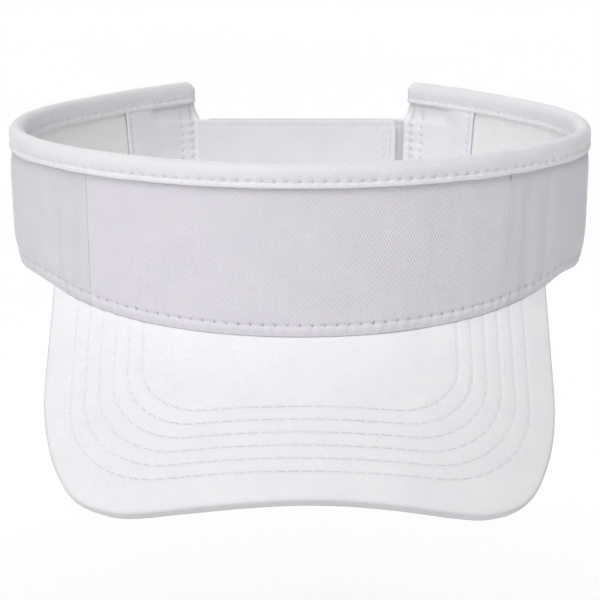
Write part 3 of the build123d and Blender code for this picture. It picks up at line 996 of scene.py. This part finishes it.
def bill_sheet(name, depth, sign, wrap):
    """One cover of the bill: face, rounded edge and seam, with its back a cloth's thickness in."""
    inset, deep, back_inset, back_deep = wrap.T

    def around(inset, deep):
        flat = outline[:, None] + inward[:, None] * inset[:, None]
        return bill(flat[..., 0], flat[..., 1], deep)

    face = bill(face_x, face_t, depth + sign * face_relief)
    back = bill(face_x, face_t, depth + sign * CLOTH)
    outer = np.concatenate((face, around(inset, deep)), 1)
    inner = np.concatenate((back, around(back_inset, back_deep)), 1)
    reach = np.abs(deep - depth) + EDGE_INSET - inset
    uv = np.concatenate((np.stack((face_x, face_t), -1),
                         face_edge[:, None] - inward[:, None] * reach[:, None]), 1)
    grid = layers(outer, inner)
    sheet = skin(name, grid, layers(uv, uv), BILL_CLOTH)
    edge = len(ALONG)
    # The rim attribute paints shade onto the rounded edge, which faces down.
    rim = np.zeros(grid.shape[:2])
    rim[:, edge : outer.shape[1]] = 1.0
    rim[:, edge - 2 : edge + 3] = (0.1, 0.25, 0.45, 0.7, 0.9)
    mark(sheet, "rim", rim)
    crease = np.zeros(grid.shape[:2])
    # Painted shade along the sewn channels, less at the sides of the bill.
    crease[:, :edge] = 0.11 * bell(row_gap, 0, 0.5) * calmer(face_x)
    mark(sheet, "crease", crease)
    return sheet


def bill_stitches(name, depth, sign):
    """The rows of stitches on one face of the bill."""
    rows = []
    for row, even in ROWS:
        starts, ends = (
            np.stack((np.interp(np.abs(place), even, row[:, 0]) * np.sign(place),
                      np.interp(np.abs(place), even, row[:, 1])), -1)
            for place in dashes(-even[-1], even[-1], ROW_PITCH, 0.9))
        mid = bill(*((starts + ends) / 2).T, depth)
        # Only stitches clear of the band's lower edge are sewn.
        keep = mid[:, 1] < np.interp(np.abs(mid[:, 0]), *half_root.T[:2]) - 3.0
        starts, ends, mid = starts[keep], ends[keep], mid[keep]
        sin = (starts + ends)[:, 0] / 2 / ARCH
        normal = np.sqrt(1 - sin * sin)[:, None] * BILL_OUT
        normal[:, 0] += sin
        # Thread that runs across the light lies in the shadow of its channel.
        run = ends - starts
        across = run[:, 0] / np.hypot(*run.T)
        dark = (0.06 + 0.36 * across**2) * (1 + 0.25 * waves(mid[:, 0], mid[:, 1], 73, 12))
        sunk = depth + sign * 0.2
        rows.append((bill(*starts.T, sunk), bill(*ends.T, sunk), sign * normal, dark))
    return stitches(name, rows, width=0.46, lift=0.03, sink=0.22)


settle(bill_sheet("bill_top_cloth", 0.0, 1, TOP_WRAP), "bill_twill", "front", "bill_top_cover")
settle(bill_sheet("bill_under_cloth", BILL_THICK, -1, UNDER_WRAP), "bill_twill", "front",
       "bill_under_cover")
settle(bill_stitches("bill_stitches_top", 0.0, 1), "bill_twill", "front")
settle(bill_stitches("bill_stitches_under", BILL_THICK, -1), "bill_twill", "front")


# ---------------------------------------------------------------- the straps

inner_low, inner_high = cad_mm("inner_strap")
outer_low, outer_high = cad_mm("outer_strap")
STRAP_LOW, STRAP_HIGH = inner_low[2], inner_high[2]
INNER_Y = (inner_low[1] + inner_high[1]) / 2
OUTER_Y = (outer_low[1] + outer_high[1]) / 2
STRAP_HALF = 0.8
STRAP_CORNER = 2.0
STRAP_PITCH = 3.2
STRAP_EDGE_ROW = 2.3
EDGE_ROWS = (STRAP_LOW + STRAP_EDGE_ROW, STRAP_HIGH - STRAP_EDGE_ROW)
# Where each strap bends, in metres: from beside its rear end to where it runs straight.
INNER_BEND = ((-0.0450, 0.0894, 0.021), (-0.0335, 0.0894, 0.021))
OUTER_BEND = ((0.0465, 0.0934, 0.021), (0.0335, 0.0934, 0.021))


def strap_line(hand, line_y, bend_x, free_x, z):
    """Plan positions along a strap from its sewn root to its free end, for each height z."""
    end = REAR_END["left" if hand < 0 else "right"]
    s = np.linspace(end - 13, end - 2.2, 14)
    rooted = wall(hand * s[:, None], z[None, :], -3.42)[..., :2]
    start = rooted[-1]
    way = unit(rooted[-1] - rooted[-2])
    finish = np.stack((np.full(len(z), hand * bend_x), np.full(len(z), line_y)), -1)
    finish_way = np.array((-hand, 0.0))
    reach = np.linalg.norm(finish - start, axis=1, keepdims=True)
    t = np.linspace(0, 1, 26)[1:, None, None]
    h00, h10 = 2 * t**3 - 3 * t**2 + 1, t**3 - 2 * t**2 + t
    h01, h11 = -2 * t**3 + 3 * t**2, t**3 - t**2
    bend = h00 * start + h10 * way * reach * 0.55 + h01 * finish + h11 * finish_way * reach * 0.9
    x = np.linspace(bend_x, free_x, int(abs(bend_x - free_x) / 0.6))[1:]
    fine = 1 - np.sin(np.linspace(0, np.pi / 2, 9))
    x = np.concatenate((x[np.abs(x - free_x) > STRAP_CORNER * 1.05],
                        free_x + STRAP_CORNER * fine * np.sign(bend_x - free_x)))
    flat = np.stack(np.broadcast_arrays(hand * x[:, None], line_y + 0 * z[None, :]), -1)
    return np.concatenate((rooted, bend, flat))


def strap(name, hand, line_y, bend_x, free_x, seed, cross_rows):
    """A flat two-layer strap with rounded edges, from inside the rear end to its free end."""
    rise, fold = folded(STRAP_HALF, 7)
    height = STRAP_HIGH - STRAP_LOW
    z = STRAP_LOW + np.concatenate((rise, np.linspace(1.2, height - 1.2, 46), height - rise[::-1]))
    plan = strap_line(hand, line_y, bend_x, free_x, z)
    lengths = np.linalg.norm(np.diff(plan, axis=0), axis=2)
    run = np.concatenate((np.zeros((1, len(z))), np.cumsum(lengths, 0)))
    way = unit(np.gradient(plan, axis=0))
    normal = np.stack((way[..., 1], -way[..., 0]), -1) * -hand
    left = run[-1:] - run
    mid_z, half_height = (STRAP_LOW + STRAP_HIGH) / 2, height / 2
    narrow = STRAP_CORNER * (1 - rounded(left, STRAP_CORNER, 0))
    zg = mid_z + (z - mid_z) * (half_height - narrow) / half_height
    edge = np.minimum(zg - STRAP_LOW, STRAP_HIGH - zg)
    free = step(STRAP_HALF * 8, STRAP_HALF * 14, run)
    beat = ripple(run, STRAP_PITCH)
    dent = -0.22 * bell(edge, STRAP_EDGE_ROW, 0.5) * free * (0.85 + 0.15 * beat)
    dent = dent - 0.05 * beat * bell(edge, STRAP_EDGE_ROW - 1.0, 1.0) * free
    for row in cross_rows:
        dent = dent - 0.22 * bell(left, row, 0.5)
    soft = 0.16 * waves(run, zg, seed, 26) * free * step(0, 5, left)
    amount = (STRAP_HALF + dent) * np.concatenate((fold, np.ones(46), fold[::-1]))
    amount = amount * rounded(left, 0.7, 0.03)
    near, far = (np.concatenate((plan + (face * amount + soft)[..., None] * normal,
                                 zg[..., None]), -1) for face in (1, -1))
    uv = np.stack((hand * layers(run, run), layers(zg, 2 * STRAP_HIGH + 1 - zg)), -1)
    return skin(name, layers(near, far), uv, STRAP_CLOTH)


def strap_stitches(name, line_y, low_x, high_x, cross):
    """Running stitches on both faces of a strap: two edge rows, and cross rows at some places."""
    rows = []

    # dark is the painted shade on the thread: light on the edge rows, deeper on the cross rows.
    def sew(pair, way, dark):
        normal = np.broadcast_to((0.0, way, 0.0), pair[0].shape)
        rows.append((*pair, normal, dark))

    for way in (-1, 1):
        y = line_y + way * (STRAP_HALF - 0.2)
        for z in EDGE_ROWS:
            sew([np.stack(np.broadcast_arrays(x, y, z), -1)
                 for x in dashes(low_x, high_x, STRAP_PITCH, 0.74)], way, 0.08)
        for x in cross:
            sew([np.stack(np.broadcast_arrays(x, y, z), -1)
                 for z in dashes(EDGE_ROWS[0] + 0.6, EDGE_ROWS[1] - 0.6, 3.0, 0.74)], way, 0.4)
    return stitches(name, rows, width=0.4, lift=0.08)


inner = strap("inner_strap_cloth", -1, INNER_Y, 33.0, -inner_high[0], 81, (2.2, 4.6))
settle(inner, "strap_twill", ("side_left", "strap_inner", *INNER_BEND),
       "inner_strap", "strap_root_left")
outer = strap("outer_strap_cloth", 1, OUTER_Y, 34.0, outer_low[0], 82, (2.2,))
settle(outer, "strap_twill", ("side_right", "strap_outer", *OUTER_BEND),
       "outer_strap", "strap_root_right")
seam = strap_stitches("inner_strap_stitches", INNER_Y, -31.5, 34.5,
                      (inner_high[0] - 2.2, inner_high[0] - 4.6))
settle(seam, "strap_twill", "strap_inner")
seam = strap_stitches("outer_strap_stitches", OUTER_Y, -34.0, 32.0, (outer_low[0] + 2.2, 18.0))
settle(seam, "strap_twill", "strap_outer")


# ---------------------------------------------------------------- the fastening tapes

def tape(name, node, face_sign, thickness, material, seed, lump):
    """A woven tape on a strap's face, with rounded edges and a soft or bristly surface."""
    low, high = cad_mm(node)
    x = spaced(low[0], high[0], 0.6, 0.5)
    rise, fold = folded(0.3)
    flat = np.arange(low[2] + 0.8, high[2] - 0.7, 0.6)
    z = np.concatenate((low[2] + rise, flat, high[2] - rise[::-1]))
    open_ = np.concatenate((fold, np.ones(len(flat)), fold[::-1]))
    e = opening(x, 0.5, open_)
    xg, zg = np.meshgrid(x, z, indexing="ij")
    base = low[1] if face_sign > 0 else high[1]
    raised = (thickness + lump * waves(xg, zg, seed, 1.6, 16)) * e
    face = np.stack((xg, base + face_sign * raised, zg), -1)
    back = np.stack((xg, base + 0 * xg, zg), -1)
    grid = layers(face, back)
    return skin(name, grid, grid[..., (0, 2)], material)


# A hook in section, from its foot to its tip: across, out, lean and radius.
HOOK_PATH = ((0, 0, 0, 0.17), (0, 0.3, 0, 0.15), (0.05, 0.48, 0.5, 0.14), (0.22, 0.58, 1.3, 0.12),
             (0.38, 0.5, 2.2, 0.1), (0.42, 0.36, 2.8, 0.06))
HOOK_SIDES = 5


def hook_field(name):
    """Rows of small bent hooks on the hook tape, each row bent against its neighbours."""
    low, high = cad_mm("hook_tape")
    gx, gz = np.meshgrid(np.arange(low[0] + 1.2, high[0] - 1.0, 1.25),
                         np.arange(low[2] + 1.2, high[2] - 1.0, 1.35))
    gx, gz = gx.reshape(-1, 1, 1), gz.reshape(-1, 1, 1)
    way = np.where((np.round(gz / 1.35) % 2) == 0, 1.0, -1.0)
    across, out, lean, radius = np.array(HOOK_PATH).T[:, None, :, None]
    turn = np.linspace(0, 2 * math.pi, HOOK_SIDES, endpoint=False)
    ring_u, ring_v = np.cos(turn) * radius, np.sin(turn) * radius
    y = high[1] - 0.38 - out + ring_u * np.sin(lean)
    z = gz + way * (across + ring_u * np.cos(lean))
    verts = np.stack(np.broadcast_arrays(gx + way * ring_v, y, z), -1)
    return tubes(name, verts, verts[..., (0, 2)], HOOK_NYLON)


loops = tape("loop_tape_pile", "loop_tape", 1, 0.8, LOOP_PILE, 91, 0.13)
settle(loops, "loop_pile", "strap_inner", "loop_tape")
hooks_base = tape("hook_tape_base", "hook_tape", -1, 0.4, HOOK_NYLON, 92, 0.02)
settle(hooks_base, "hook_nylon", "strap_outer", "hook_tape")
settle(hook_field("hook_tape_hooks"), "hook_nylon", "strap_outer")


# ---------------------------------------------------------------- carried-over parts

for node, material in (("front_stiffener", BUCKRAM), ("bill_board", BOARD)):
    mesh = bpy.data.objects[node].data
    mesh.materials.clear()
    mesh.materials.append(material)


# ---------------------------------------------------------------- floor, light and camera

def pale_floor(colour):
    """A matt white that glows faintly, so that the floor stays even."""
    paint = Paint("pale floor", 0.95, 0.0, 0.1)
    tone = paint.ramp(paint.noise(400, 2, "Object"), (0.3, shade(colour, 0.995)), (0.7, colour))
    for socket in ("Base Color", "Emission Color"):
        paint.link(tone, paint.shader.inputs[socket])
    paint.shader.inputs["Emission Strength"].default_value = 0.08
    return paint.material


def soft_sun(name, towards, spread, strength, colour=WHITE):
    """Broad even light that comes from the direction towards."""
    light = bpy.data.lights.new(name, "SUN")
    light.angle, light.energy, light.color = math.radians(spread), strength, colour
    lamp = bpy.data.objects.new(name, light)
    lamp.rotation_euler = Vector(towards).to_track_quat("Z", "Y").to_euler()
    bpy.context.scene.collection.objects.link(lamp)


# From here on in metres.
FLOOR_Z = -0.24
FLOOR_REACH = 30.0
corners = [(x * FLOOR_REACH, y * FLOOR_REACH, FLOOR_Z)
           for x, y in ((-1, -1), (1, -1), (1, 1), (-1, 1))]
floor_mesh = bpy.data.meshes.new("floor")
floor_mesh.from_pydata(corners, [], [(0, 1, 2, 3)])
floor_mesh.materials.append(pale_floor((0.97, 0.97, 0.97)))
floor = bpy.data.objects.new("floor", floor_mesh)
bpy.context.scene.collection.objects.link(floor)

world = bpy.data.worlds.new("studio")
world.use_nodes = True
world.node_tree.nodes["Background"].inputs["Color"].default_value = (1.0, 1.0, 1.0, 1)
world.node_tree.nodes["Background"].inputs["Strength"].default_value = 0.02
bpy.context.scene.world = world

soft_sun("left", (-0.673, -0.285, 0.284), 55, 0.71, (1, 0.985, 1.03))
soft_sun("top", (-0.1, -1.16, 1.97), 48, 2.34)
soft_sun("back", (0.0, 0.84, 0.54), 40, 1.2)

camera = bpy.data.cameras.new("camera")
camera.sensor_width = 36
camera.lens = 134.66
camera.clip_start, camera.clip_end = 0.01, 50
eye = bpy.data.objects.new("camera", camera)
eye.location = (0, -0.7807, 0.1776)
eye.rotation_euler = (math.radians(90 - 13.99), 0, 0)
bpy.context.scene.collection.objects.link(eye)
bpy.context.scene.camera = eye
bpy.context.scene.view_settings.view_transform = "Standard"
bpy.context.scene.view_settings.look = "None"
